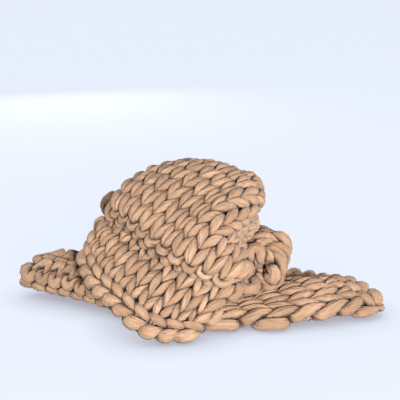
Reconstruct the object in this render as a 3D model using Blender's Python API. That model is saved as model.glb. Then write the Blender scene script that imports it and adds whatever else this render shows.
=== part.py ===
"""A weighted blanket in chunky stockinette, lying in a heap: one knitted cloth in its folded shape.

The cloth is laid out by sections. Each row of the two tables below places one section across half
of the blanket's width, from the front selvedge to the back one. The points between the rows are
interpolated, then evened out until every stitch has its real size and no two layers meet.
"""

import bpy
import numpy as np

# Driving dimensions, in metres
WALE_WIDTH = 0.059  # one stitch across
COURSE_HEIGHT = 0.055  # one stitch along
HALF_WALES = 10  # stitches across each half of the blanket
COURSES = 27  # stitches from the bind-off edge to the cast-on edge
PARTED_COURSES = 24  # the two halves lie apart as far as this course
THICKNESS = 0.040  # cloth, without its raised stitches
RELIEF = 0.005  # height of a stitch's legs over the cloth's face
LAYER_STEP = 0.051  # least distance between the middles of two layers
FLOOR_HEIGHT = 0.022  # height of the cloth's middle where it lies flat
PRESSED_FLAT = 0.006  # what is nearer than this to the floor lies flat on it
CLEARANCE = 0.003  # least gap between two layers
ROOM_REACH = 0.077  # a layer whose middle is farther than this needs no room to be made
ROOM_ANGLE = 0.3  # least cosine between a face's direction and a layer that it makes room for
EDGE_THINNING = 0.75  # thickness at the cloth's edges, as a share
EDGE_ROUNDING = 0.010  # how far the round edge stands out
LEAST_OPEN = 0.25  # how far the inside of a bend may close, as a share of its length
BEND_STEP = 0.85  # how much nearer to the middle a closed bend comes each time
BEND_ROUNDS = 14
ROUNDS = 180  # times that the cloth's points are evened out
HOLD = 0.15  # how strongly firm sections keep their place
FAIRING = 0.16  # how strongly bends are smoothed
STIFFNESS = 1.66  # least distance over two steps of the grid, in steps: less lets it bend tighter
LEAST_STITCH = 0.65  # how narrow or short a squeezed stitch may be, as a share of its size
MOST_STITCH = 1.08  # how wide or long a stretched stitch may be
STITCH_PULL = 0.6  # how strongly a stitch outside these limits is pulled into them
SIZE_PULL = 0.03  # how strongly every stitch is pulled to its own size
BEND_PULL = 0.4  # how strongly a bend that is too tight is opened
LAYER_PUSH = 1.5  # how strongly two layers that are too close are moved apart

# Sections of the half that lies lowest, in centimetres. A course is counted from the cast-on edge.
# A firm section keeps its place while the stitches are evened out.
LOWER_HALF = (
    # name, course, firmness, points at even steps from the front selvedge to the back one
    ("cast-on edge", 0, 0.6,
     (-1, -19.5, 2.5), (-12.5, -21.5, 3), (-20.5, -17, 8), (-27, -9, 11.5), (-30, 0, 16)),
    ("front swell", 1.5, 0.5,
     (4, -18, 5.5), (-8, -19, 9), (-16, -15, 14), (-23.5, -7, 18), (-27, 3, 21)),
    ("front, upper", 3.1, 0.5,
     (8, -14, 9.5), (-3, -14.5, 13), (-12, -10, 17), (-19.5, -1, 20.5), (-26, 9, 23.5)),
    ("under the top lobe", 4.7, 0.3,
     (10.5, -8, 13.5), (2, -6.5, 15), (-7, 0, 17), (-15.5, 8, 19.5), (-24.5, 17, 21.5)),
    ("sag", 6.3, 0.1, (9, 3.5, 13), (3.5, 9, 12.7), (-4, 14, 12.7), (-14, 23, 14)),
    ("right fold, top", 8.2, 0.4,
     (17, -2, 15), (20, 4, 18.7), (19, 13, 18.7), (13.5, 20.5, 17.2), (4, 27, 15.5)),
    ("right fold", 9.2, 0.4,
     (21, -3.5, 11.5), (24, 4, 13.8), (24, 13.5, 14.2), (18.5, 23, 13.2), (9, 30.5, 12)),
    ("right fold, below", 10.2, 0.3,
     (16.5, -3, 8.3), (18.5, 3.5, 9), (18.5, 13, 9.3), (13, 21, 8.8), (4, 28, 8.3)),
    ("way back", 13, 0.1, (5, -5, 7.4), (-6, 9, 7.4), (-22, 25, 7.6)),
    ("left fold, top", 16.2, 0.4, (-8, -11, 7.5), (-27, 1, 9), (-46, 11, 10.5)),
    ("left fold", 17.2, 0.9, (-12, -13, 4.8), (-32, -1, 5.6), (-55, 9, 6.3)),
    ("left fold, below", 18.2, 0.4, (-8, -13, 2.2), (-27, 1, 2.2), (-47, 9, 2.2)),
    ("floor", 20.4, 0.2, (4, -14.5, 2.2), (-6, 3, 2.2), (-25, 22, 2.2)),
    ("floor, right", 22.6, 0.3,
     (18.5, -14.5, 2.2), (14, -4.5, 4), (7, 6, 2.6), (-2, 16, 2.2), (-12, 25, 2.2)),
    ("tail", 24.8, 0.6, (35, -12.5, 2.2), (30, -2, 7), (22, 7, 3), (11.5, 16, 2.2), (0, 24, 2.2)),
    ("bind-off edge", 27, 0.8,
     (49.5, -4.5, 3), (42, 4, 4.2), (34, 12, 2.6), (24, 19, 2.2), (13, 25, 2.2)),
)

# Sections of the half that lies on top
UPPER_HALF = (
    ("cast-on edge", 0, 0.6,
     (7, -20, 14), (-2.5, -19.5, 18), (-11, -15, 22), (-18, -6, 24.5), (-24, 4, 25)),
    ("front, low", 1.2, 0.5,
     (11, -18, 17), (0.5, -18.5, 23), (-7.5, -11.5, 24.5), (-15, -4, 29.5), (-23, 8, 29)),
    ("front", 2.3, 0.5,
     (11, -12, 19.5), (3, -16, 25.5), (-3, -9, 28.5), (-11.5, -1, 32.5), (-20.5, 11.5, 31.5)),
    ("front, high", 3.8, 0.5,
     (9.5, -4, 19.5), (7, -11.5, 28), (3, -6, 32), (-6, 3.5, 35.5), (-15.5, 15.5, 33)),
    ("upper front", 5.2, 0.5,
     (10.5, 3, 20.5), (10, -7, 28.5), (8.5, -2, 33.5), (0, 8.5, 36.5), (-10.5, 20, 33.5)),
    ("crest", 6.5, 0.6,
     (12.5, 7, 21.5), (13, -1.5, 28.5), (14, 3.5, 32.5), (6.5, 13.5, 35.5), (-5, 24.5, 32.5)),
    ("crest, below", 8, 0.3,
     (10, 11.5, 20.5), (11.5, 5.5, 23.7), (12, 10, 27.5), (3.5, 20, 29.5), (-8.5, 31, 26)),
    ("hidden fold, top", 11, 0.1, (-4, 8, 24), (-9, 18, 25.5), (-26, 33, 22)),
    ("hidden fold", 12.2, 0.1, (-8, 6, 21.2), (-13.5, 15.5, 22.2), (-31, 31, 19.2)),
    ("hidden fold, below", 13.4, 0.1, (-3, 10, 18.3), (-8, 19.5, 18.3), (-26, 35, 16)),
    ("back, top", 17, 0.1, (14, 25, 22.5), (1, 37, 20.5), (-15, 52, 16.5)),
    ("back", 19.2, 0.2, (9, 34, 13.8), (-4, 48, 13.5), (-20, 65, 10.5)),
    ("back foot, above", 21, 0.3, (-1, 38, 7.6), (-12, 55, 7.4), (-27, 73, 7)),
    ("back foot", 22.1, 0.4, (-9, 38.5, 4.8), (-21, 56, 4.8), (-34, 75, 4.8)),
    ("back foot, below", 23.1, 0.4, (-6, 35, 2.2), (-17, 56, 2.2), (-30, 76, 2.2)),
    ("bind-off edge", 27, 0.8, (13, 25, 2.2), (5, 50, 2.2), (-6, 75, 2.2)),
)


def section_points(rows, steps):
    """A grid of points, column by row of the table: each section is a smooth curve through its points.

    The fourth value of each point is the firmness of its section.
    """
    sections = []
    for name, course, firmness, *points in rows:
        wales = np.linspace(0, HALF_WALES, len(points))
        curve = smooth_curve(np.array(points, float) / 100, wales, steps)
        sections.append(np.column_stack([curve, np.full(len(curve), firmness)]))
    return np.stack(sections, axis=1)


def smooth_curve(points, stations, steps):
    """Points along a Catmull-Rom curve through the given ones, at even steps of their stations."""
    ends = np.concatenate([[2 * points[0] - points[1]], points, [2 * points[-1] - points[-2]]])
    u = np.linspace(0, 1, 13)[:, None]
    places, curve = [], []
    for k in range(len(points) - 1):
        a, b, c, d = ends[k : k + 4]
        piece = 0.5 * (2 * b + (c - a) * u + (2 * a - 5 * b + 4 * c - d) * u**2
                       + (3 * b - 3 * c + d - a) * u**3)
        length = np.linalg.norm(np.diff(piece[:, :3], axis=0), axis=1).cumsum()
        share = np.concatenate([[0], length / length[-1]])[:-1]
        places.append(stations[k] + share * (stations[k + 1] - stations[k]))
        curve.append(piece[:-1])
    places, curve = np.append(np.concatenate(places), stations[-1]), np.vstack(curve + [points[-1:]])
    wanted = np.linspace(0, stations[-1], steps + 1)
    return np.stack([np.interp(wanted, places, value) for value in curve.T], axis=1)


def half_grid(rows):
    """The middle of the cloth of one half, with two points to a stitch each way."""
    sections = section_points(rows, 2 * HALF_WALES)
    courses = [row[1] for row in rows]
    return np.stack([smooth_curve(column, courses, 2 * COURSES) for column in sections])


def pull(grid, a, b, least, most, strength):
    """Moves the points at a and b of the grid until their distance is between least and most."""
    apart = grid[b] - grid[a]
    length = np.linalg.norm(apart, axis=-1, keepdims=True)
    move = 0.5 * strength * apart * (1 - np.clip(length, least, most) / length)
    grid[a] += move
    grid[b] -= move


def stitch_pairs():
    """Pairs of the grid's points, as slices, with the least and most distance and the strength."""
    across, along = WALE_WIDTH / 2, COURSE_HEIGHT / 2
    slant = np.hypot(across, along)
    whole, first, last = slice(None), slice(None, -1), slice(1, None)
    early, late = slice(None, -2), slice(2, None)
    pairs = []
    for start in (0, 1):
        low, high = slice(start, -1, 2), slice(start + 1, None, 2)
        for a, b, size in (((whole, low, whole), (whole, high, whole), across),
                           ((whole, whole, low), (whole, whole, high), along)):
            pairs.append((a, b, LEAST_STITCH * size, MOST_STITCH * size, STITCH_PULL))
            pairs.append((a, b, size, size, SIZE_PULL))
    pairs.append(((whole, first, first), (whole, last, last), slant, slant, SIZE_PULL))
    pairs.append(((whole, first, last), (whole, last, first), slant, slant, SIZE_PULL))
    for a, b, size in (((whole, early, whole), (whole, late, whole), across),
                       ((whole, whole, early), (whole, whole, late), along)):
        pairs.append((a, b, STIFFNESS * size, 3 * size, BEND_PULL))
    return pairs


def layer_pairs(grid, reach, least_along):
    """Pairs of points within the reach in space that are farther than a length along the cloth."""
    half, column, row = np.indices(grid.shape[:3]).reshape(3, -1)
    across = (half * 2 * HALF_WALES + column) * WALE_WIDTH / 2
    join = 2 * PARTED_COURSES
    points = grid.reshape(-1, 3)
    square = (points**2).sum(axis=1)
    distance = square[:, None] + square[None] - 2 * points @ points.T
    a, b = np.nonzero(distance < reach**2)
    a, b = a[a < b], b[a < b]
    round_slit = np.maximum(join - row[a], 0) + np.maximum(join - row[b], 0)
    steps = np.where(half[a] == half[b], np.abs(row[a] - row[b]),
                     round_slit + np.abs(np.maximum(row[a], join) - np.maximum(row[b], join)))
    along_cloth = np.hypot(across[a] - across[b], steps * COURSE_HEIGHT / 2)
    far = along_cloth > least_along
    return a[far], b[far]


def part_layers(grid):
    """Moves layers that are too close away from each other."""
    a, b = layer_pairs(grid, LAYER_STEP, 2 * LAYER_STEP)
    points = grid.reshape(-1, 3)
    apart = points[b] - points[a]
    length = np.linalg.norm(apart, axis=1, keepdims=True)
    move = 0.5 * apart * (LAYER_STEP / length - 1)
    total, count = np.zeros_like(points), np.zeros((len(points), 1))
    for index, side in ((a, -1), (b, 1)):
        np.add.at(total, index, side * move)
        np.add.at(count, index, 1)
    points += LAYER_PUSH * total / np.maximum(count, 1)


def fair(grid, strength):
    """Takes the sharpest bends out of the cloth."""
    inner = (grid[:, :, 2:] + grid[:, :, :-2]) / 2 - grid[:, :, 1:-1]
    grid[:, :, 1:-1] += strength * inner
    inner = (grid[:, 2:] + grid[:, :-2]) / 2 - grid[:, 1:-1]
    grid[:, 1:-1] += strength * inner


def settle(sections, rounds):
    """Evens out the stitches, keeps the layers apart and keeps the cloth on the floor."""
    placed, firmness = sections[..., :3], sections[..., 3:]
    grid = placed.copy()
    pairs = stitch_pairs()
    join = 2 * PARTED_COURSES
    for turn in range(rounds):
        left = 1 - turn / rounds
        grid += HOLD * (firmness + 0.3 * left) * (placed - grid)
        fair(grid, FAIRING)
        for a, b, least, most, strength in pairs:
            pull(grid, a, b, least, most, strength)
        part_layers(grid)
        seam = (grid[0, -1, join:] + grid[1, 0, join:]) / 2
        grid[0, -1, join:] = seam
        grid[1, 0, join:] = seam
        grid[..., 2] = np.maximum(grid[..., 2], FLOOR_HEIGHT)
    return grid


# --- solid


def point_numbers():
    """The number of each grid point. The halves share their points where the cloth is whole."""
    shape = (2, 2 * HALF_WALES + 1, 2 * COURSES + 1)
    numbers = np.arange(np.prod(shape)).reshape(shape)
    join = 2 * PARTED_COURSES
    numbers[1, 0, join:] = numbers[0, -1, join:]
    return numbers


def cloth_normals(grid, numbers):
    """The direction in which the knit face looks, at each point of the grid."""
    along = grid[:, :-1, 1:] - grid[:, :-1, :-1] + grid[:, 1:, 1:] - grid[:, 1:, :-1]
    across = grid[:, 1:, :-1] - grid[:, :-1, :-1] + grid[:, 1:, 1:] - grid[:, :-1, 1:]
    facing = np.cross(along, across).reshape(-1, 3)
    total = np.zeros((numbers.size, 3))
    for corner in (numbers[:, :-1, :-1], numbers[:, 1:, :-1], numbers[:, :-1, 1:], numbers[:, 1:, 1:]):
        np.add.at(total, corner.reshape(-1), facing)
    total = total[numbers]
    return total / np.linalg.norm(total, axis=-1, keepdims=True)


def stitch_heights():
    """Relief of both faces at each grid point: V-shaped legs on the knit face, rows on the other."""
    column, row = np.indices((2 * HALF_WALES + 1, 2 * COURSES + 1)) % 2
    knit = np.select([(column == 1) & (row == 0), (column == 0) & (row == 1), (column == 1)],
                     [1.0, 0.6, 0.0], -0.4)
    purl = np.select([(row == 1) & (column == 0), row == 1], [0.9, 0.5], -0.2)
    return knit * RELIEF, purl * RELIEF


def edge_factor(numbers):
    """One inside the cloth and less at its edges, where the cloth is thinner."""
    factor = np.ones(numbers.shape)
    factor[:, :, 0] = factor[:, :, -1] = EDGE_THINNING
    factor[0, 0] = factor[1, -1] = EDGE_THINNING
    join = 2 * PARTED_COURSES
    factor[0, -1, :join] = factor[1, 0, :join] = EDGE_THINNING
    return factor


def cell_edges():
    """The grid's edges and the diagonals of its cells, as pairs of slices."""
    whole, first, last = slice(None), slice(None, -1), slice(1, None)
    return (((whole, first), (whole, last)), ((whole, whole, first), (whole, whole, last)),
            ((whole, first, first), (whole, last, last)), ((whole, first, last), (whole, last, first)))


def room_beside(grid, normals, side):
    """How far each point may stand out on this side, so that it stays clear of the next layer."""
    a, b = layer_pairs(grid, ROOM_REACH, ROOM_REACH + CLEARANCE)
    room = np.full(grid[..., 0].size, np.inf)
    points, outward = grid.reshape(-1, 3), side * normals.reshape(-1, 3)
    for here, there in ((a, b), (b, a)):
        apart = points[there] - points[here]
        ahead = (apart * outward[here]).sum(axis=1)
        square = (apart**2).sum(axis=1)
        facing = ahead > ROOM_ANGLE * np.sqrt(square)
        half_way = square[facing] / (2 * ahead[facing]) - CLEARANCE / 2
        np.minimum.at(room, here[facing], half_way)
    return room.reshape(grid.shape[:3])


def face_points(grid, normals, factor, heights, side):
    """The points of the knit face (side 1) or the purl face (side -1).

    Where the face is on the inside of a bend, it comes nearer to the cloth's middle, so that no
    edge of it closes to less than a share of its length.
    """
    offset = factor * np.minimum(THICKNESS / 2 + heights, room_beside(grid, normals, side))
    for _ in range(BEND_ROUNDS):
        points = grid + side * normals * offset[..., None]
        share = np.ones(offset.shape)
        for a, b in cell_edges():
            edge = grid[b] - grid[a]
            open_share = ((points[b] - points[a]) * edge).sum(axis=-1) / (edge**2).sum(axis=-1)
            less = np.where(open_share < LEAST_OPEN, BEND_STEP, 1)
            share[a] = np.minimum(share[a], less)
            share[b] = np.minimum(share[b], less)
        offset = offset * share
    points = grid + side * normals * offset[..., None]
    resting = points[..., 2] < PRESSED_FLAT
    points[..., 2] = np.where(resting, 0, points[..., 2])
    return points


def face_triangles(numbers):
    """Triangles of the knit face. Their shared edges run along the legs of the stitches."""
    a, b = numbers[:, :-1, :-1], numbers[:, 1:, :-1]
    c, d = numbers[:, 1:, 1:], numbers[:, :-1, 1:]
    left = np.arange(a.shape[1]) % 2 == 0
    rising = [np.stack(t, axis=-1) for t in ((a, d, b), (d, c, b))]
    falling = [np.stack(t, axis=-1) for t in ((a, d, c), (a, c, b))]
    return np.concatenate([t[:, left].reshape(-1, 3) for t in rising]
                          + [t[:, ~left].reshape(-1, 3) for t in falling])


def rim_of(triangles):
    """The edges that only one triangle has, in its own order."""
    edges = np.concatenate([triangles[:, [0, 1]], triangles[:, [1, 2]], triangles[:, [2, 0]]])
    backwards = {(b, a) for a, b in edges.tolist()}
    return [edge for edge in edges.tolist() if tuple(edge) not in backwards]


def rim_points(grid, normals, rim):
    """A point outside each rim point, so that the cloth's edge is round."""
    outward = {}
    flat_grid, flat_normals = grid.reshape(-1, 3), normals.reshape(-1, 3)
    for a, b in rim:
        for point in (a, b):
            out = np.cross(flat_grid[b] - flat_grid[a], flat_normals[point])
            outward[point] = outward.get(point, 0) + out
    return {point: EDGE_ROUNDING * out / np.linalg.norm(out) for point, out in outward.items()}


def cloth_mesh(grid):
    """The closed surface of the cloth: its two faces and the rim that joins them."""
    numbers = point_numbers()
    normals = cloth_normals(grid, numbers)
    factor = edge_factor(numbers)
    knit_heights, purl_heights = stitch_heights()
    knit = face_points(grid, normals, factor, knit_heights, 1).reshape(-1, 3)
    purl = face_points(grid, normals, factor, purl_heights, -1).reshape(-1, 3)
    triangles = face_triangles(numbers)
    rim = rim_of(triangles)
    outward = rim_points(grid, normals, rim)
    size = numbers.size
    order = {point: 2 * size + k for k, point in enumerate(outward)}
    middle = np.array([grid.reshape(-1, 3)[point] + out for point, out in outward.items()])
    middle[:, 2] = np.maximum(middle[:, 2], PRESSED_FLAT)
    faces = [tuple(t) for t in triangles.tolist()]
    faces += [(c + size, b + size, a + size) for a, b, c in triangles.tolist()]
    for a, b in rim:
        for low, high in (((a, order[a]), (b, order[b])), ((order[a], a + size), (order[b], b + size))):
            faces += [(high[0], low[0], low[1]), (high[0], low[1], high[1])]
    return np.concatenate([knit, purl, middle]), faces


def knitted_material():
    material = bpy.data.materials.new("tan knit")
    material.use_nodes = True
    shader = material.node_tree.nodes["Principled BSDF"]
    shader.inputs["Base Color"].default_value = (0.50, 0.31, 0.19, 1)
    shader.inputs["Roughness"].default_value = 0.9
    shader.inputs["Metallic"].default_value = 0
    return material


def build_blanket():
    grid = np.stack([half_grid(LOWER_HALF), half_grid(UPPER_HALF)])
    points, faces = cloth_mesh(settle(grid, ROUNDS))
    used = sorted({point for face in faces for point in face})
    renumbered = {point: k for k, point in enumerate(used)}
    mesh = bpy.data.meshes.new("blanket")
    mesh.from_pydata(points[used].tolist(), [], [[renumbered[p] for p in face] for face in faces])
    mesh.materials.append(knitted_material())
    mesh.validate()
    blanket = bpy.data.objects.new("blanket", mesh)
    bpy.context.scene.collection.objects.link(blanket)
    return blanket


for old in list(bpy.data.objects):
    bpy.data.objects.remove(old, do_unlink=True)
build_blanket()
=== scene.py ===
import math

import bpy
import numpy as np
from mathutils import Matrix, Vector


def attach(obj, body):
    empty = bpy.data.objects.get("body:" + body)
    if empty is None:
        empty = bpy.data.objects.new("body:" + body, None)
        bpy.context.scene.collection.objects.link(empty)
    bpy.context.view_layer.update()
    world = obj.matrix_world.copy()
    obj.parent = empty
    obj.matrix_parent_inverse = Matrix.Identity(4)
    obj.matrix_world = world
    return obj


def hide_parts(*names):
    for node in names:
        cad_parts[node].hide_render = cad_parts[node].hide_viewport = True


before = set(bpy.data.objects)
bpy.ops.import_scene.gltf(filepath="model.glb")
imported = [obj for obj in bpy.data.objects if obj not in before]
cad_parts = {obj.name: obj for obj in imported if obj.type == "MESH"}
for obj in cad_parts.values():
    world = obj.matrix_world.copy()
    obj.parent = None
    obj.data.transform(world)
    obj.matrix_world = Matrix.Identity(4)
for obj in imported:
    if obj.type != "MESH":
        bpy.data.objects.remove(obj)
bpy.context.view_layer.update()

for loaded in list(bpy.context.selected_objects):
    loaded.select_set(False)


# ---- cloth: the middle of the folded cloth, on a grid of two points to a stitch ----

cloth = {
    "waleWidth": 0.059,  # the width that stitches are pulled towards, metres; most settle near 0.046
    "courseHeight": 0.055,  # and their height; most settle near 0.058
    "halfWales": 10,
    "courses": 27,
    "partedCourses": 24,  # the two halves lie apart as far as this course
    "layerStep": 0.051,  # least distance between two layers' middles
    "sameLayer": 2,  # points nearer than this along the cloth are one layer, in layer steps
    "layerPush": 1.5,
    "floorHeight": 0.022,  # the cloth's middle where it lies flat
    "rounds": 180,
    "hold": 0.15,  # how firmly the sections keep their place
    "earlyHold": 0.3,  # added at first, and less each round
    "fairing": 0.16,
    "stiffness": 1.66,
    "leastStitch": 0.65,  # shares of that size outside which the pull is stronger, not hard limits
    "mostStitch": 1.08,
    "stitchPull": 0.6,
    "sizePull": 0.03,
    "bendPull": 0.4,
    "neverDrawn": 3,  # a length in stitches that no pair reaches, so that it only pushes
    "curvePoints": 13,  # between two given points
}

# Sections of the half that lies lowest, in centimetres. A course is counted from the cast-on edge.
# A firm section keeps nearer its place while the cloth settles.
lowerHalf = (
    # name, course, firmness, points at even steps from the front selvedge to the back one
    ("cast-on edge", 0, 0.6,
     (-1, -19.5, 2.5), (-12.5, -21.5, 3), (-20.5, -17, 8), (-27, -9, 11.5), (-30, 0, 16)),
    ("front swell", 1.5, 0.5,
     (4, -18, 5.5), (-8, -19, 9), (-16, -15, 14), (-23.5, -7, 18), (-27, 3, 21)),
    ("front, upper", 3.1, 0.5,
     (8, -14, 9.5), (-3, -14.5, 13), (-12, -10, 17), (-19.5, -1, 20.5), (-26, 9, 23.5)),
    ("under the top lobe", 4.7, 0.3,
     (10.5, -8, 13.5), (2, -6.5, 15), (-7, 0, 17), (-15.5, 8, 19.5), (-24.5, 17, 21.5)),
    ("sag", 6.3, 0.1, (9, 3.5, 13), (3.5, 9, 12.7), (-4, 14, 12.7), (-14, 23, 14)),
    ("right fold, top", 8.2, 0.4,
     (17, -2, 15), (20, 4, 18.7), (19, 13, 18.7), (13.5, 20.5, 17.2), (4, 27, 15.5)),
    ("right fold", 9.2, 0.4,
     (21, -3.5, 11.5), (24, 4, 13.8), (24, 13.5, 14.2), (18.5, 23, 13.2), (9, 30.5, 12)),
    ("right fold, below", 10.2, 0.3,
     (16.5, -3, 8.3), (18.5, 3.5, 9), (18.5, 13, 9.3), (13, 21, 8.8), (4, 28, 8.3)),
    ("way back", 13, 0.1, (5, -5, 7.4), (-6, 9, 7.4), (-22, 25, 7.6)),
    ("left fold, top", 16.2, 0.4, (-8, -11, 7.5), (-27, 1, 9), (-46, 11, 10.5)),
    ("left fold", 17.2, 0.9, (-12, -13, 4.8), (-32, -1, 5.6), (-55, 9, 6.3)),
    ("left fold, below", 18.2, 0.4, (-8, -13, 2.2), (-27, 1, 2.2), (-47, 9, 2.2)),
    ("floor", 20.4, 0.2, (4, -14.5, 2.2), (-6, 3, 2.2), (-25, 22, 2.2)),
    ("floor, right", 22.6, 0.3,
     (18.5, -14.5, 2.2), (14, -4.5, 4), (7, 6, 2.6), (-2, 16, 2.2), (-12, 25, 2.2)),
    ("tail", 24.8, 0.6, (35, -12.5, 2.2), (30, -2, 7), (22, 7, 3), (11.5, 16, 2.2), (0, 24, 2.2)),
    ("bind-off edge", 27, 0.8,
     (49.5, -4.5, 3), (42, 4, 4.2), (34, 12, 2.6), (24, 19, 2.2), (13, 25, 2.2)),
)

# Sections of the half that lies on top
upperHalf = (
    ("cast-on edge", 0, 0.6,
     (7, -20, 14), (-2.5, -19.5, 18), (-11, -15, 22), (-18, -6, 24.5), (-24, 4, 25)),
    ("front, low", 1.2, 0.5,
     (11, -18, 17), (0.5, -18.5, 23), (-7.5, -11.5, 24.5), (-15, -4, 29.5), (-23, 8, 29)),
    ("front", 2.3, 0.5,
     (11, -12, 19.5), (3, -16, 25.5), (-3, -9, 28.5), (-11.5, -1, 32.5), (-20.5, 11.5, 31.5)),
    ("front, high", 3.8, 0.5,
     (9.5, -4, 19.5), (7, -11.5, 28), (3, -6, 32), (-6, 3.5, 35.5), (-15.5, 15.5, 33)),
    ("upper front", 5.2, 0.5,
     (10.5, 3, 20.5), (10, -7, 28.5), (8.5, -2, 33.5), (0, 8.5, 36.5), (-10.5, 20, 33.5)),
    ("crest", 6.5, 0.6,
     (12.5, 7, 21.5), (13, -1.5, 28.5), (14, 3.5, 32.5), (6.5, 13.5, 35.5), (-5, 24.5, 32.5)),
    ("crest, below", 8, 0.3,
     (10, 11.5, 20.5), (11.5, 5.5, 23.7), (12, 10, 27.5), (3.5, 20, 29.5), (-8.5, 31, 26)),
    ("hidden fold, top", 11, 0.1, (-4, 8, 24), (-9, 18, 25.5), (-26, 33, 22)),
    ("hidden fold", 12.2, 0.1, (-8, 6, 21.2), (-13.5, 15.5, 22.2), (-31, 31, 19.2)),
    ("hidden fold, below", 13.4, 0.1, (-3, 10, 18.3), (-8, 19.5, 18.3), (-26, 35, 16)),
    ("back, top", 17, 0.1, (14, 25, 22.5), (1, 37, 20.5), (-15, 52, 16.5)),
    ("back", 19.2, 0.2, (9, 34, 13.8), (-4, 48, 13.5), (-20, 65, 10.5)),
    ("back foot, above", 21, 0.3, (-1, 38, 7.6), (-12, 55, 7.4), (-27, 73, 7)),
    ("back foot", 22.1, 0.4, (-9, 38.5, 4.8), (-21, 56, 4.8), (-34, 75, 4.8)),
    ("back foot, below", 23.1, 0.4, (-6, 35, 2.2), (-17, 56, 2.2), (-30, 76, 2.2)),
    ("bind-off edge", 27, 0.8, (13, 25, 2.2), (5, 50, 2.2), (-6, 75, 2.2)),
)


def sectionPoints(rows):
    sections = []
    for name, course, firmness, *points in rows:
        stations = np.linspace(0, cloth["halfWales"], len(points))
        curve = smoothCurve(np.array(points, float) / 100, stations, 2 * cloth["halfWales"])
        sections.append(np.column_stack([curve, np.full(len(curve), firmness)]))
    return np.stack(sections, axis=1)


def smoothCurve(points, stations, steps):
    ends = np.concatenate([[2 * points[0] - points[1]], points, [2 * points[-1] - points[-2]]])
    u = np.linspace(0, 1, cloth["curvePoints"])[:, None]
    places, curve = [], []
    for k in range(len(points) - 1):
        a, b, c, d = ends[k : k + 4]
        piece = 0.5 * (2 * b + (c - a) * u + (2 * a - 5 * b + 4 * c - d) * u**2
                       + (3 * b - 3 * c + d - a) * u**3)
        length = np.linalg.norm(np.diff(piece[:, :3], axis=0), axis=1).cumsum()
        share = np.concatenate([[0], length / length[-1]])[:-1]
        places.append(stations[k] + share * (stations[k + 1] - stations[k]))
        curve.append(piece[:-1])
    places, curve = np.append(np.concatenate(places), stations[-1]), np.vstack(curve + [points[-1:]])
    wanted = np.linspace(0, stations[-1], steps + 1)
    return np.stack([np.interp(wanted, places, value) for value in curve.T], axis=1)


def halfGrid(rows):
    courses = [row[1] for row in rows]
    return np.stack([smoothCurve(column, courses, 2 * cloth["courses"])
                     for column in sectionPoints(rows)])


def pull(grid, a, b, least, most, strength):
    apart = grid[b] - grid[a]
    length = np.linalg.norm(apart, axis=-1, keepdims=True)
    move = 0.5 * strength * apart * (1 - np.clip(length, least, most) / length)
    grid[a] += move
    grid[b] -= move


def stitchPairs():
    across, along = cloth["waleWidth"] / 2, cloth["courseHeight"] / 2
    slant, stiff, sizePull = np.hypot(across, along), cloth["stiffness"], cloth["sizePull"]
    whole, first, last = slice(None), slice(None, -1), slice(1, None)
    early, late = slice(None, -2), slice(2, None)
    pairs = []
    for start in (0, 1):
        low, high = slice(start, -1, 2), slice(start + 1, None, 2)
        for a, b, size in (((whole, low, whole), (whole, high, whole), across),
                           ((whole, whole, low), (whole, whole, high), along)):
            least, most = cloth["leastStitch"] * size, cloth["mostStitch"] * size
            pairs.append((a, b, least, most, cloth["stitchPull"]))
            pairs.append((a, b, size, size, sizePull))
    pairs.append(((whole, first, first), (whole, last, last), slant, slant, sizePull))
    pairs.append(((whole, first, last), (whole, last, first), slant, slant, sizePull))
    for a, b, size in (((whole, early, whole), (whole, late, whole), across),
                       ((whole, whole, early), (whole, whole, late), along)):
        pairs.append((a, b, stiff * size, cloth["neverDrawn"] * size, cloth["bendPull"]))
    return pairs


def layerPairs(grid):
    half, column, row = np.indices(grid.shape[:3]).reshape(3, -1)
    across = (half * 2 * cloth["halfWales"] + column) * cloth["waleWidth"] / 2
    join = 2 * cloth["partedCourses"]
    points = grid.reshape(-1, 3)
    square = (points**2).sum(axis=1)
    distance = square[:, None] + square[None] - 2 * points @ points.T
    a, b = np.nonzero(distance < cloth["layerStep"] ** 2)
    a, b = a[a < b], b[a < b]
    roundSlit = np.maximum(join - row[a], 0) + np.maximum(join - row[b], 0)
    steps = np.where(half[a] == half[b], np.abs(row[a] - row[b]),
                     roundSlit + np.abs(np.maximum(row[a], join) - np.maximum(row[b], join)))
    between = np.hypot(across[a] - across[b], steps * cloth["courseHeight"] / 2)
    far = between > cloth["sameLayer"] * cloth["layerStep"]
    return a[far], b[far]


def partLayers(grid):
    a, b = layerPairs(grid)
    points = grid.reshape(-1, 3)
    apart = points[b] - points[a]
    move = 0.5 * apart * (cloth["layerStep"] / np.linalg.norm(apart, axis=1, keepdims=True) - 1)
    total, count = np.zeros_like(points), np.zeros((len(points), 1))
    for index, side in ((a, -1), (b, 1)):
        np.add.at(total, index, side * move)
        np.add.at(count, index, 1)
    points += cloth["layerPush"] * total / np.maximum(count, 1)


def settledCloth():
    sections = np.stack([halfGrid(lowerHalf), halfGrid(upperHalf)])
    placed, firmness = sections[..., :3], sections[..., 3:]
    grid, pairs, join = placed.copy(), stitchPairs(), 2 * cloth["partedCourses"]
    for turn in range(cloth["rounds"]):
        early = cloth["earlyHold"] * (1 - turn / cloth["rounds"])
        grid += cloth["hold"] * (firmness + early) * (placed - grid)
        between = (grid[:, :, 2:] + grid[:, :, :-2]) / 2
        grid[:, :, 1:-1] += cloth["fairing"] * (between - grid[:, :, 1:-1])
        between = (grid[:, 2:] + grid[:, :-2]) / 2
        grid[:, 1:-1] += cloth["fairing"] * (between - grid[:, 1:-1])
        for a, b, least, most, strength in pairs:
            pull(grid, a, b, least, most, strength)
        partLayers(grid)
        seam = (grid[0, -1, join:] + grid[1, 0, join:]) / 2
        grid[0, -1, join:] = seam
        grid[1, 0, join:] = seam
        grid[..., 2] = np.maximum(grid[..., 2], cloth["floorHeight"])
    return grid


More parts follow.
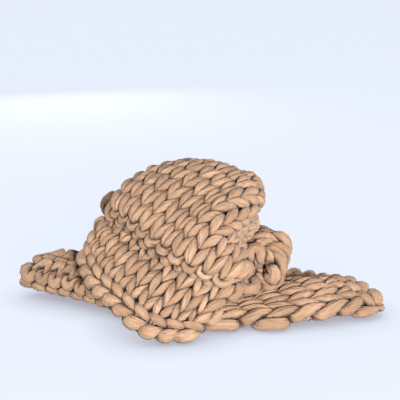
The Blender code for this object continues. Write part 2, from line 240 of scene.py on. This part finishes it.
def padded(grid):
    # two more points past each edge, so that the edge loops have a surface to follow
    join, n = 2 * cloth["partedCourses"], grid.shape
    wide = np.zeros((2, n[1] + 4, n[2] + 4, n[3]))
    wide[:, 2:-2, 2:-2] = grid
    for step in (1, 2):
        wide[:, 2 - step, 2:-2] = (1 + step) * grid[:, 0] - step * grid[:, 1]
        wide[:, -3 + step, 2:-2] = (1 + step) * grid[:, -1] - step * grid[:, -2]
        wide[0, -3 + step, 2 + join : -2] = grid[1, step, join:]
        wide[1, 2 - step, 2 + join : -2] = grid[0, -1 - step, join:]
    for step in (1, 2):
        wide[:, :, 2 - step] = (1 + step) * wide[:, :, 2] - step * wide[:, :, 3]
        wide[:, :, -3 + step] = (1 + step) * wide[:, :, -3] - step * wide[:, :, -4]
    return wide


def gridNormals(grid):
    along = np.gradient(grid, axis=2)
    across = np.gradient(grid, axis=1)
    facing = np.cross(along, across)
    return facing / np.linalg.norm(facing, axis=-1, keepdims=True)


def cubicWeights(x):
    return np.stack([-0.5 * x + x**2 - 0.5 * x**3, 1 - 2.5 * x**2 + 1.5 * x**3,
                     0.5 * x + 2 * x**2 - 1.5 * x**3, -0.5 * x**2 + 0.5 * x**3])


def onCloth(values, half, column, row):
    # values of the padded grid at places given in grid steps
    column, row = column + 2, row + 2
    c = np.clip(np.floor(column).astype(int), 1, values.shape[1] - 3)
    r = np.clip(np.floor(row).astype(int), 1, values.shape[2] - 3)
    wc, wr = cubicWeights(column - c), cubicWeights(row - r)
    total = 0
    for i in range(4):
        for j in range(4):
            total = total + (wc[i] * wr[j])[:, None] * values[half, c + i - 1, r + j - 1]
    return total


# ---- yarn: one thick tube yarn, looped course by course ----

yarn = {
    "depth": 0.0155,  # half its thickness where nothing presses on it, metres
    "width": 0.021,  # half its width there
    "squareness": 2.3,  # 2 is an oval section, more has flatter faces
    "rise": 0.0125,  # how far the legs stand before the cloth's middle, and the heads behind it
    "gather": 0.02,  # how far a stitch's legs draw together, in wales
    "unevenness": 0.018,  # how far stitches stray, in stitches
    "swelling": 0.07,  # how much the yarn's thickness changes along it
    "loopReach": 0.95,  # half a loop's height, in courses
    "loopSpread": 0.33,  # how far legs lean out, in wales
    "ringStep": 0.0093,  # metres between the rings of the tube
    "sides": 12,
    "edgeBulge": 0.28,  # how far the turns stand out at the selvedges, in wales
    "endRings": 3,  # rings in which a yarn's end closes
    "endStart": 0.3,  # and where in the first of them it begins
    "fewestRings": 8,
    "stitchPoints": 40,  # points of the path to a stitch
    "turnPoints": 14,  # and to a turn at a selvedge
    "turnRise": 0.9,
    "swellRings": 6,  # rings between two random thicknesses
    "strayPoints": 9,  # points between two random strays
    "firstSeed": 5,
    "softness": 12,  # lower is rounder where loops press on each other
    "gap": 0.0012,  # metres between touching loops
    "turnedCourse": 19,  # the last courses are knitted the other way up
    "chainOffset": 0.15,  # how far outside the courses an edge chain lies, in courses
    "chainHeight": 0.9,
    "chainPoints": 4,  # between two given points of a link
    "castOnShare": 0.88,  # thickness of the cast-on loops beside the other yarn
    "leastReach": 0.002,  # metres from the yarn's middle to its side, however hard it is pressed
    "bendRoom": 0.85,  # share of a bend's radius that the inner side may fill
    "pressReach": 2.1,  # loops press on each other within this many half widths
    "ownReach": 2.4,  # a yarn presses on itself only further along it than this many
    "floorGap": 0.0006,
}

# One link of an edge chain: wales along it, courses out from it, and rises before the cloth
chainLink = (
    (-0.30, 0, -0.6), (-0.1, 0.20, 0.5), (0.25, 0.36, 1.3), (0.75, 0.40, 1.0),
    (1.15, 0.20, 0.0), (1.25, 0.0, -0.5), (1.15, -0.20, 0.0), (0.75, -0.40, 1.0),
    (0.25, -0.36, 1.3), (-0.1, -0.20, 0.5), (-0.30, 0, -0.8), (0.25, 0, -1.1),
)

castOn = {
    "points": 36,  # to a stitch
    "lean": 0.20,  # wales
    "middle": 0.12,  # courses above the edge
    "reach": 0.46,
    "behind": 0.55,  # how far behind the cloth's middle, in rises
    "swing": 0.65,
}

edges = {
    "wales": 0.62,  # how far loops reach past the first and last wale
    "castOn": 0.72,  # and past the first course
    "bindOff": 0.75,  # and the last one
    "overhang": 0.17,  # how far they may stand past the cloth's edge, in stitches
}

# Painted shade in the creases: the colour darkens where a loop lies deep and is pressed by its
# neighbours
creaseShading = {
    "deepFrom": 0.20,  # how far below the cloth's faces the painted crease shade begins, as a share
    "deepTo": 0.62,
    "pressedFrom": 0.03,  # how much of its reach a loop has lost there
    "pressedTo": 0.20,
}


def courseLoops(firstWale, lastWale, course, turned, backwards):
    # one course: u in wales, v in courses, w in metres before the cloth's middle
    stitches = lastWale - firstWale
    tau = np.linspace(0, 2 * math.pi * stitches, yarn["stitchPoints"] * stitches + 1)
    u = firstWale + tau / (2 * math.pi) + yarn["loopSpread"] * np.sin(2 * tau)
    u += yarn["gather"] * np.sin(tau)
    v = course + 0.5 - (-1 if turned else 1) * yarn["loopReach"] * np.cos(tau)
    w = -yarn["rise"] * np.cos(2 * tau)
    loops = np.stack([u, v, w], axis=1)
    return loops[::-1] if backwards else loops


def selvedgeTurn(start, end, side):
    # the half round that joins two courses at an edge
    phi = np.linspace(0, math.pi, yarn["turnPoints"])[1:-1]
    u = start[0] + side * yarn["edgeBulge"] * np.sin(phi)
    v = start[1] + (end[1] - start[1]) * (1 - np.cos(phi)) / 2
    w = start[2] + (end[2] - start[2]) * phi / math.pi
    w += yarn["turnRise"] * yarn["rise"] * np.sin(phi)
    return np.stack([u, v, w], axis=1)


def knittedPath(firstWale, lastWale, firstCourse, lastCourse):
    parts = []
    for course in range(firstCourse, lastCourse):
        backwards = (course - firstCourse) % 2 == 1
        loops = courseLoops(firstWale, lastWale, course, course >= yarn["turnedCourse"], backwards)
        if parts:
            parts.append(selvedgeTurn(parts[-1][-1], loops[0], 1 if backwards else -1))
        parts.append(loops)
    return np.concatenate(parts)


def smoothThrough(points, steps):
    points = np.array(points, float)
    ends = np.concatenate([[2 * points[0] - points[1]], points, [2 * points[-1] - points[-2]]])
    x = np.linspace(0, 1, steps, endpoint=False)
    weights = cubicWeights(x)
    pieces = [sum(weights[i][:, None] * ends[k + i] for i in range(4))
              for k in range(len(points) - 1)]
    return np.concatenate(pieces + [points[-1:]])


def edgeChain(firstWale, lastWale, edge, outward):
    # a chain of loops along a cast-on or bind-off edge
    points = []
    for wale in range(firstWale, lastWale):
        for u, v, w in chainLink:
            points.append((wale + u, edge + outward * yarn["chainHeight"] * v, w * yarn["rise"]))
    return smoothThrough(points, yarn["chainPoints"])


def castOnLoops(firstWale, lastWale):
    # round loops under the first stitches
    stitches = lastWale - firstWale
    tau = np.linspace(0, 2 * math.pi * stitches, castOn["points"] * stitches + 1)
    u = firstWale + tau / (2 * math.pi) + castOn["lean"] * np.sin(2 * tau)
    v = castOn["middle"] + castOn["reach"] * np.cos(tau)
    w = -yarn["rise"] * (castOn["behind"] + castOn["swing"] * np.cos(tau))
    return np.stack([u, v, w], axis=1)


def fittedToEdges(path, wales):
    # draws the outermost loops in, so that they end just past the cloth's edges
    margin = edges["overhang"]
    low, high = -edges["wales"], wales + edges["wales"]
    u = -margin + (path[:, 0] - low) * (wales + 2 * margin) / (high - low)
    low, high = -edges["castOn"], cloth["courses"] + edges["bindOff"]
    v = -margin + (path[:, 1] - low) * (cloth["courses"] + 2 * margin) / (high - low)
    return np.stack([u, v, path[:, 2]], axis=1)


def evenly(points, step):
    length = np.concatenate([[0], np.linalg.norm(np.diff(points[:, :3], axis=0), axis=1).cumsum()])
    wanted = np.linspace(0, length[-1], max(yarn["fewestRings"], int(length[-1] / step)))
    return np.stack([np.interp(wanted, length, value) for value in points.T], axis=1)


def yarnInSpace(path, firstHalf, wales):
    # the path's points on the folded cloth, each with the direction in which the knit face looks
    place = fittedToEdges(strayed(path.copy(), len(path)), wales)
    half = np.full(len(place), firstHalf)
    column = place[:, 0].copy()
    if wales > cloth["halfWales"]:
        over = column > cloth["halfWales"]
        half[over], column[over] = 1, column[over] - cloth["halfWales"]
    middle = onCloth(wideGrid, half, 2 * column, 2 * place[:, 1])
    facing = onCloth(wideNormals, half, 2 * column, 2 * place[:, 1])
    facing /= np.linalg.norm(facing, axis=1, keepdims=True)
    points = middle + facing * place[:, 2:]
    return evenly(np.concatenate([points, facing, place[:, 2:]], axis=1), yarn["ringStep"])


def ringAngles():
    return np.arange(yarn["sides"]) * 2 * math.pi / yarn["sides"]


def ringFrames(points, facing):
    tangent = np.gradient(points, axis=0)
    tangent /= np.linalg.norm(tangent, axis=1, keepdims=True)
    up = facing - (facing * tangent).sum(axis=1, keepdims=True) * tangent
    up /= np.linalg.norm(up, axis=1, keepdims=True)
    side = np.cross(tangent, up)
    cosines, sines = np.cos(ringAngles())[None, :, None], np.sin(ringAngles())[None, :, None]
    return up[:, None] * cosines + side[:, None] * sines


def swells(count, seed):
    # slow random changes along a yarn, about 1, and rounded ends
    apart = yarn["swellRings"]
    knots = np.random.default_rng(seed).normal(0, yarn["swelling"], count // apart + 3)
    fromEnd = np.minimum(np.arange(count), np.arange(count)[::-1])
    ends = np.sqrt(np.clip((fromEnd + yarn["endStart"]) / yarn["endRings"], 0, 1))
    return (1 + np.interp(np.arange(count) / apart, np.arange(len(knots)), knots)) * ends


def strayed(path, seed):
    # stitches of slightly uneven size
    apart = yarn["strayPoints"]
    knots = np.random.default_rng(seed).normal(0, yarn["unevenness"], (len(path) // apart + 3, 2))
    along = np.arange(len(path)) / apart
    for k in range(2):
        path[:, k] += np.interp(along, np.arange(len(knots)), knots[:, k])
    return path


def eased(values, low, high):
    share = np.clip((values - low) / (high - low), 0, 1)
    return share * share * (3 - 2 * share)


def pressedRadii(yarns, shares):
    # how far each ring reaches each way, where the loops beside it press on it, and the painted
    # shade in its creases
    centres = np.concatenate([y[:, :3] for y in yarns]).astype(np.float32)
    owner = np.concatenate([np.full(len(y), k) for k, y in enumerate(yarns)])
    order = np.concatenate([np.arange(len(y)) for y in yarns])
    spokes = np.concatenate([ringFrames(y[:, :3], y[:, 3:6]) for y in yarns]).astype(np.float32)
    room = np.full(spokes.shape[:2], 1.0, np.float32)
    reach = yarn["pressReach"] * yarn["width"]
    own = int(yarn["ownReach"] * yarn["width"] / yarn["ringStep"])
    square, rows = (centres**2).sum(axis=1), 800
    for start in range(0, len(centres), rows):
        block = slice(start, start + rows)
        near = square[block, None] + square[None] - 2 * centres[block] @ centres.T < reach**2
        a, b = np.nonzero(near)
        a += start
        foreign = (owner[a] != owner[b]) | (np.abs(order[a] - order[b]) > own)
        a, b = a[foreign], b[foreign]
        apart = centres[b] - centres[a]
        distance = (apart**2).sum(axis=1)
        for k in range(spokes.shape[1]):
            ahead = (apart * spokes[a, k]).sum(axis=1)
            facing = ahead > 1e-4
            np.minimum.at(room[:, k], a[facing], distance[facing] / (2 * ahead[facing]))
    bend = np.concatenate([np.gradient(np.gradient(y[:, :3], axis=0), axis=0) / yarn["ringStep"] ** 2
                           for y in yarns])
    inward = np.maximum((bend[:, None] * spokes).sum(axis=2), 1e-3)
    room = np.minimum(room - yarn["gap"], yarn["bendRoom"] / inward)
    room = np.maximum(room, yarn["leastReach"])
    angles, power, squareness = ringAngles(), yarn["softness"], yarn["squareness"]
    section = (np.abs(np.cos(angles) / yarn["depth"]) ** squareness
               + np.abs(np.sin(angles) / yarn["width"]) ** squareness) ** (-1 / squareness)
    thickness = [share * swells(len(y), yarn["firstSeed"] + k)
                 for k, (y, share) in enumerate(zip(yarns, shares))]
    free = section[None] * np.concatenate(thickness)[:, None]
    radii = (free**-power + room**-power) ** (-1 / power)
    # painted crease shade: darker where the yarn's side lies deep below the cloth's faces and is
    # pressed
    height = np.concatenate([y[:, 6] for y in yarns])[:, None] + radii * np.cos(angles)
    sunk = 1 - np.abs(height) / (yarn["rise"] + yarn["depth"])
    creaseShade = eased(sunk, creaseShading["deepFrom"], creaseShading["deepTo"])
    creaseShade = creaseShade * eased(1 - radii / free, creaseShading["pressedFrom"], creaseShading["pressedTo"])
    return centres, spokes, radii, creaseShade, owner


def tubeMesh(name, centres, spokes, radii, creaseShade, owner):
    sides = yarn["sides"]
    # each reach is evened a little with its neighbours', first along the yarn and then round it
    softened = radii.copy()
    inside = owner[1:-1] == owner[:-2]
    inside &= owner[1:-1] == owner[2:]
    softened[1:-1][inside] = (0.5 * radii[1:-1] + 0.25 * radii[:-2] + 0.25 * radii[2:])[inside]
    before, after = np.roll(softened, 1, axis=1), np.roll(softened, -1, axis=1)
    softened = 0.8 * softened + 0.1 * before + 0.1 * after
    points = centres[:, None] + spokes * softened[..., None]
    points[..., 2] = np.maximum(points[..., 2], yarn["floorGap"])
    rings = np.arange(len(centres) * sides).reshape(-1, sides)
    joined = owner[1:] == owner[:-1]
    a, b = rings[:-1][joined], rings[1:][joined]
    faces = np.stack([a, np.roll(a, -1, axis=1), np.roll(b, -1, axis=1), b], axis=-1).reshape(-1, 4)
    faces = [tuple(face) for face in faces.tolist()]
    firsts = [0] + (np.nonzero(~joined)[0] + 1).tolist()
    lasts = np.nonzero(~joined)[0].tolist() + [len(centres) - 1]
    faces += [tuple(rings[k][::-1].tolist()) for k in firsts]
    faces += [tuple(rings[k].tolist()) for k in lasts]
    mesh = bpy.data.meshes.new(name)
    mesh.from_pydata(points.reshape(-1, 3).tolist(), [], faces)
    mesh.shade_smooth()
    mesh.validate()
    # a place on the yarn: metres along it, then metres off its middle, for the folds of its fabric
    along = np.repeat(np.arange(len(centres)) * yarn["ringStep"], sides)
    angles = np.tile(ringAngles(), len(centres))
    place = [along, yarn["depth"] * np.cos(angles), yarn["width"] * np.sin(angles)]
    place = np.stack(place, axis=1).reshape(-1)
    yarnPlace = mesh.attributes.new("yarnPlace", "FLOAT_VECTOR", "POINT")
    yarnPlace.data.foreach_set("vector", place.astype(np.float32))
    # the painted crease shade, as a mask for the colour
    creaseShadeLayer = mesh.attributes.new("creaseShade", "FLOAT", "POINT")
    creaseShadeLayer.data.foreach_set("value", creaseShade.reshape(-1).astype(np.float32))
    piece = bpy.data.objects.new(name, mesh)
    bpy.context.scene.collection.objects.link(piece)
    return piece


print("settling the cloth")
wideGrid = padded(settledCloth())
wideNormals = gridNormals(wideGrid)

print("knitting")
halfWales, courses, parted = cloth["halfWales"], cloth["courses"], cloth["partedCourses"]
allWales, outside = 2 * halfWales, yarn["chainOffset"]
paths = [  # piece, first half, wales, share of the yarn's thickness, path
    ("lower", 0, halfWales, 1, knittedPath(0, halfWales, 0, parted)),
    ("hem", 0, halfWales, 1, edgeChain(0, halfWales, -outside, -1)),
    ("hem", 0, allWales, 1, knittedPath(0, allWales, parted, courses)),
    ("hem", 0, allWales, 1, edgeChain(0, allWales, courses + outside, 1)),
    ("upper", 1, halfWales, 1, knittedPath(0, halfWales, 0, parted)),
    ("upper", 1, halfWales, yarn["castOnShare"], castOnLoops(0, halfWales)),
]
yarns = [yarnInSpace(path, half, wales) for name, half, wales, share, path in paths]
print("rings", [len(y) for y in yarns])
centres, spokes, radii, creaseShade, owner = pressedRadii(yarns, [path[3] for path in paths])
pieces = []
for name in ("lower", "hem", "upper"):
    chosen = np.isin(owner, [k for k, path in enumerate(paths) if path[0] == name])
    pieces.append(tubeMesh(name + "_yarn", centres[chosen], spokes[chosen],
                           radii[chosen], creaseShade[chosen], owner[chosen]))
    print(pieces[-1].name, "triangles", 2 * len(pieces[-1].data.polygons))


# ---- finish ----

jersey = {
    "colour": (0.568, 0.356, 0.224, 1),
    "dyeAndHollowShade": (0.365, 0.215, 0.129, 1),  # slow changes of the dye along the yarn, and the painted shade in the hollows of the fabric's folds
    "creaseShadeColour": (0.040, 0.017, 0.008, 1),  # painted shade, deep between loops that press on each other
    "patchSize": 9,  # changes of colour to a metre
    "foldsAlong": 26,  # soft folds to a metre, along the yarn
    "foldsRound": 95,
    "puckers": 150,  # fine cross puckers to a metre
    "foldDepth": 0.0075,  # of the bump, metres
    "puckerDepth": 0.0020,
    "ribScale": 25.862678,  # scale of the wave, which makes 82 faint ribs to a metre
    "ribDepth": 0.0002,
    "ribStrength": 0.5,
    "ribWander": 1.5,
    "roughness": 0.88,
    "specular": 0.25,
    "sheen": 0.15,
    "patches": (0.38, 0.62),  # of the dye's noise, where its two colours begin and end
    "paintedHollowShade": (0.72, 0.42),  # painted shade in the folds' hollows: of the folds' height, from light to dark
}


def softFolds():
    # group: a place on the yarn in, the height of the fabric's folds out
    group = bpy.data.node_groups.new("soft folds", "ShaderNodeTree")
    for name, kind in (("Place", "NodeSocketVector"), ("Along", "NodeSocketFloat"),
                       ("Round", "NodeSocketFloat"), ("Puckers", "NodeSocketFloat"),
                       ("Pucker Share", "NodeSocketFloat")):
        group.interface.new_socket(name, in_out="INPUT", socket_type=kind)
    group.interface.new_socket("Height", in_out="OUTPUT", socket_type="NodeSocketFloat")
    nodes, links = group.nodes, group.links
    given, result = nodes.new("NodeGroupInput"), nodes.new("NodeGroupOutput")

    def folds(along, across, detail, distortion):
        scale = nodes.new("ShaderNodeCombineXYZ")
        links.new(given.outputs[along], scale.inputs["X"])
        links.new(given.outputs[across], scale.inputs["Y"])
        links.new(given.outputs[across], scale.inputs["Z"])
        stretched = nodes.new("ShaderNodeVectorMath")
        stretched.operation = "MULTIPLY"
        links.new(given.outputs["Place"], stretched.inputs[0])
        links.new(scale.outputs["Vector"], stretched.inputs[1])
        noise = nodes.new("ShaderNodeTexNoise")
        noise.inputs["Scale"].default_value = 1
        noise.inputs["Detail"].default_value = detail
        noise.inputs["Distortion"].default_value = distortion
        links.new(stretched.outputs["Vector"], noise.inputs["Vector"])
        return noise.outputs["Fac"]

    long = folds("Along", "Round", 2, 0.9)
    cross = folds("Puckers", "Along", 1, 0.4)
    share = nodes.new("ShaderNodeMath")
    share.operation = "MULTIPLY"
    links.new(cross, share.inputs[0])
    links.new(given.outputs["Pucker Share"], share.inputs[1])
    both = nodes.new("ShaderNodeMath")
    both.operation = "ADD"
    links.new(long, both.inputs[0])
    links.new(share.outputs[0], both.inputs[1])
    links.new(both.outputs[0], result.inputs["Height"])
    return group


def jerseyMaterial():
    material = bpy.data.materials.new("tan jersey yarn")
    material.use_nodes = True
    nodes, links = material.node_tree.nodes, material.node_tree.links
    shader = nodes["Principled BSDF"]
    shader.inputs["Roughness"].default_value = jersey["roughness"]
    shader.inputs["Specular IOR Level"].default_value = jersey["specular"]
    shader.inputs["Sheen Weight"].default_value = jersey["sheen"]

    def attribute(name):
        node = nodes.new("ShaderNodeAttribute")
        node.attribute_name = name
        return node

    place, creaseShade = attribute("yarnPlace"), attribute("creaseShade")
    folds = nodes.new("ShaderNodeGroup")
    folds.node_tree = softFolds()
    folds.inputs["Along"].default_value = jersey["foldsAlong"]
    folds.inputs["Round"].default_value = jersey["foldsRound"]
    folds.inputs["Puckers"].default_value = jersey["puckers"]
    folds.inputs["Pucker Share"].default_value = jersey["puckerDepth"] / jersey["foldDepth"]
    links.new(place.outputs["Vector"], folds.inputs["Place"])

    dye = nodes.new("ShaderNodeTexNoise")
    dye.inputs["Scale"].default_value = jersey["patchSize"]
    dye.inputs["Detail"].default_value = 3
    links.new(place.outputs["Vector"], dye.inputs["Vector"])

    def blended(colour, other, mask, limits):
        ramp = nodes.new("ShaderNodeMapRange")
        ramp.inputs["From Min"].default_value, ramp.inputs["From Max"].default_value = limits
        links.new(mask, ramp.inputs["Value"])
        mix = nodes.new("ShaderNodeMix")
        mix.data_type = "RGBA"
        links.new(ramp.outputs["Result"], mix.inputs["Factor"])
        for socket, value in (("A", colour), ("B", other)):
            if isinstance(value, tuple):
                mix.inputs[socket].default_value = value
            else:
                links.new(value, mix.inputs[socket])
        return mix.outputs["Result"]

    light, dark = jersey["colour"], jersey["dyeAndHollowShade"]
    colour = blended(light, dark, dye.outputs["Fac"], jersey["patches"])
    # painted shade: darker where the fabric's folds sink
    colour = blended(colour, dark, folds.outputs["Height"], jersey["paintedHollowShade"])
    # painted shade, near black, deep in the creases between pressed loops
    colour = blended(colour, jersey["creaseShadeColour"], creaseShade.outputs["Fac"], (0, 1))
    links.new(colour, shader.inputs["Base Color"])

    ribs = nodes.new("ShaderNodeTexWave")
    ribs.bands_direction = "X"
    ribs.inputs["Scale"].default_value = jersey["ribScale"]
    ribs.inputs["Distortion"].default_value = jersey["ribWander"]
    links.new(place.outputs["Vector"], ribs.inputs["Vector"])
    fine = nodes.new("ShaderNodeBump")
    fine.inputs["Distance"].default_value = jersey["ribDepth"]
    fine.inputs["Strength"].default_value = jersey["ribStrength"]
    links.new(ribs.outputs["Fac"], fine.inputs["Height"])
    bump = nodes.new("ShaderNodeBump")
    bump.inputs["Distance"].default_value = jersey["foldDepth"]
    bump.inputs["Strength"].default_value = 1.0
    links.new(folds.outputs["Height"], bump.inputs["Height"])
    links.new(fine.outputs["Normal"], bump.inputs["Normal"])
    links.new(bump.outputs["Normal"], shader.inputs["Normal"])
    return material


yarnMaterial = jerseyMaterial()
for piece in pieces:
    piece.data.materials.append(yarnMaterial)
    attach(piece, "root")
    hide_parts("blanket")


# ---- floor, light and camera ----

studio = {
    "floorSize": 60,
    "floorColour": (0.05, 0.05, 0.05, 1),
    "contactShadowColour": (0.36, 0.35, 0.40, 1),
    "contactReach": 0.10,  # metres that the soft shadow under the object spreads
    "skyColour": (0.812, 0.871, 0.991, 1),
    "skyLight": 0.12,  # how strongly the sky lights, beside how bright it looks
    "floorGlow": 0.975,  # how much brighter the floor looks than it is
    "target": (0, 0, 0.304),
    "distance": 2.3,
    "elevation": 16,
    "lens": 79.6,
    "sensor": 36,
    "shadowSamples": 12,
}

lights = (  # name, place, what it looks at, size, power
    ("key", (0.5, -3.1, 0.95), (0, 0, 0.15), 0.4, 182),
    ("left", (-2.8, 0.4, 0.8), (0, 0, 0.15), 1.2, 40),
    ("right", (3.0, 0.6, 0.9), (0, 0.2, 0.15), 1.2, 45),
    ("back", (-0.9, 3.4, 1.1), (0, 0.3, 0.1), 1.5, 85),
)

bpy.ops.mesh.primitive_plane_add(size=studio["floorSize"])
floor = bpy.context.object
floor.name = "studio_floor"
paint = bpy.data.materials.new("pale floor")
paint.use_nodes = True
paintShader = paint.node_tree.nodes["Principled BSDF"]
paintShader.inputs["Base Color"].default_value = studio["floorColour"]
paintShader.inputs["Roughness"].default_value = 1
paintShader.inputs["Specular IOR Level"].default_value = 0
# painted contact shadow: the floor's glow darkens near the object, by ambient occlusion
nearness = paint.node_tree.nodes.new("ShaderNodeAmbientOcclusion")
nearness.samples = studio["shadowSamples"]
nearness.inputs["Distance"].default_value = studio["contactReach"]
contactShadow = paint.node_tree.nodes.new("ShaderNodeMix")
contactShadow.data_type = "RGBA"
contactShadow.inputs["A"].default_value = studio["contactShadowColour"]
contactShadow.inputs["B"].default_value = studio["skyColour"]
paint.node_tree.links.new(nearness.outputs["AO"], contactShadow.inputs["Factor"])
paint.node_tree.links.new(contactShadow.outputs["Result"], paintShader.inputs["Emission Color"])


def brighterToTheEye(tree, socket, seen, cast):
    # a surface that looks brighter than the light it casts on the object
    rays = tree.nodes.new("ShaderNodeLightPath")
    strength = tree.nodes.new("ShaderNodeMapRange")
    strength.inputs["To Min"].default_value = cast
    strength.inputs["To Max"].default_value = seen
    tree.links.new(rays.outputs["Is Camera Ray"], strength.inputs["Value"])
    tree.links.new(strength.outputs["Result"], socket)


glow = paintShader.inputs["Emission Strength"]
brighterToTheEye(paint.node_tree, glow, studio["floorGlow"], 0)
floor.data.materials.append(paint)

world = bpy.data.worlds.new("studio")
bpy.context.scene.world = world
world.use_nodes = True
background = world.node_tree.nodes["Background"]
background.inputs["Color"].default_value = studio["skyColour"]
brighterToTheEye(world.node_tree, background.inputs["Strength"], 1, studio["skyLight"])
bpy.context.scene.view_settings.view_transform = "Standard"


def softLight(name, place, aim, size, power):
    data = bpy.data.lights.new(name, "AREA")
    data.size, data.energy = size, power
    light = bpy.data.objects.new(name, data)
    light.location = place
    light.rotation_euler = (Vector(aim) - Vector(place)).to_track_quat("-Z", "Y").to_euler()
    bpy.context.scene.collection.objects.link(light)


for light in lights:
    softLight(*light)

elevation = math.radians(studio["elevation"])
cameraData = bpy.data.cameras.new("camera")
cameraData.lens, cameraData.sensor_width = studio["lens"], studio["sensor"]
camera = bpy.data.objects.new("camera", cameraData)
target = Vector(studio["target"])
outwards = Vector((0, -math.cos(elevation), math.sin(elevation)))
camera.location = target + studio["distance"] * outwards
camera.rotation_euler = (target - camera.location).to_track_quat("-Z", "Y").to_euler()
bpy.context.scene.collection.objects.link(camera)
bpy.context.scene.camera = camera
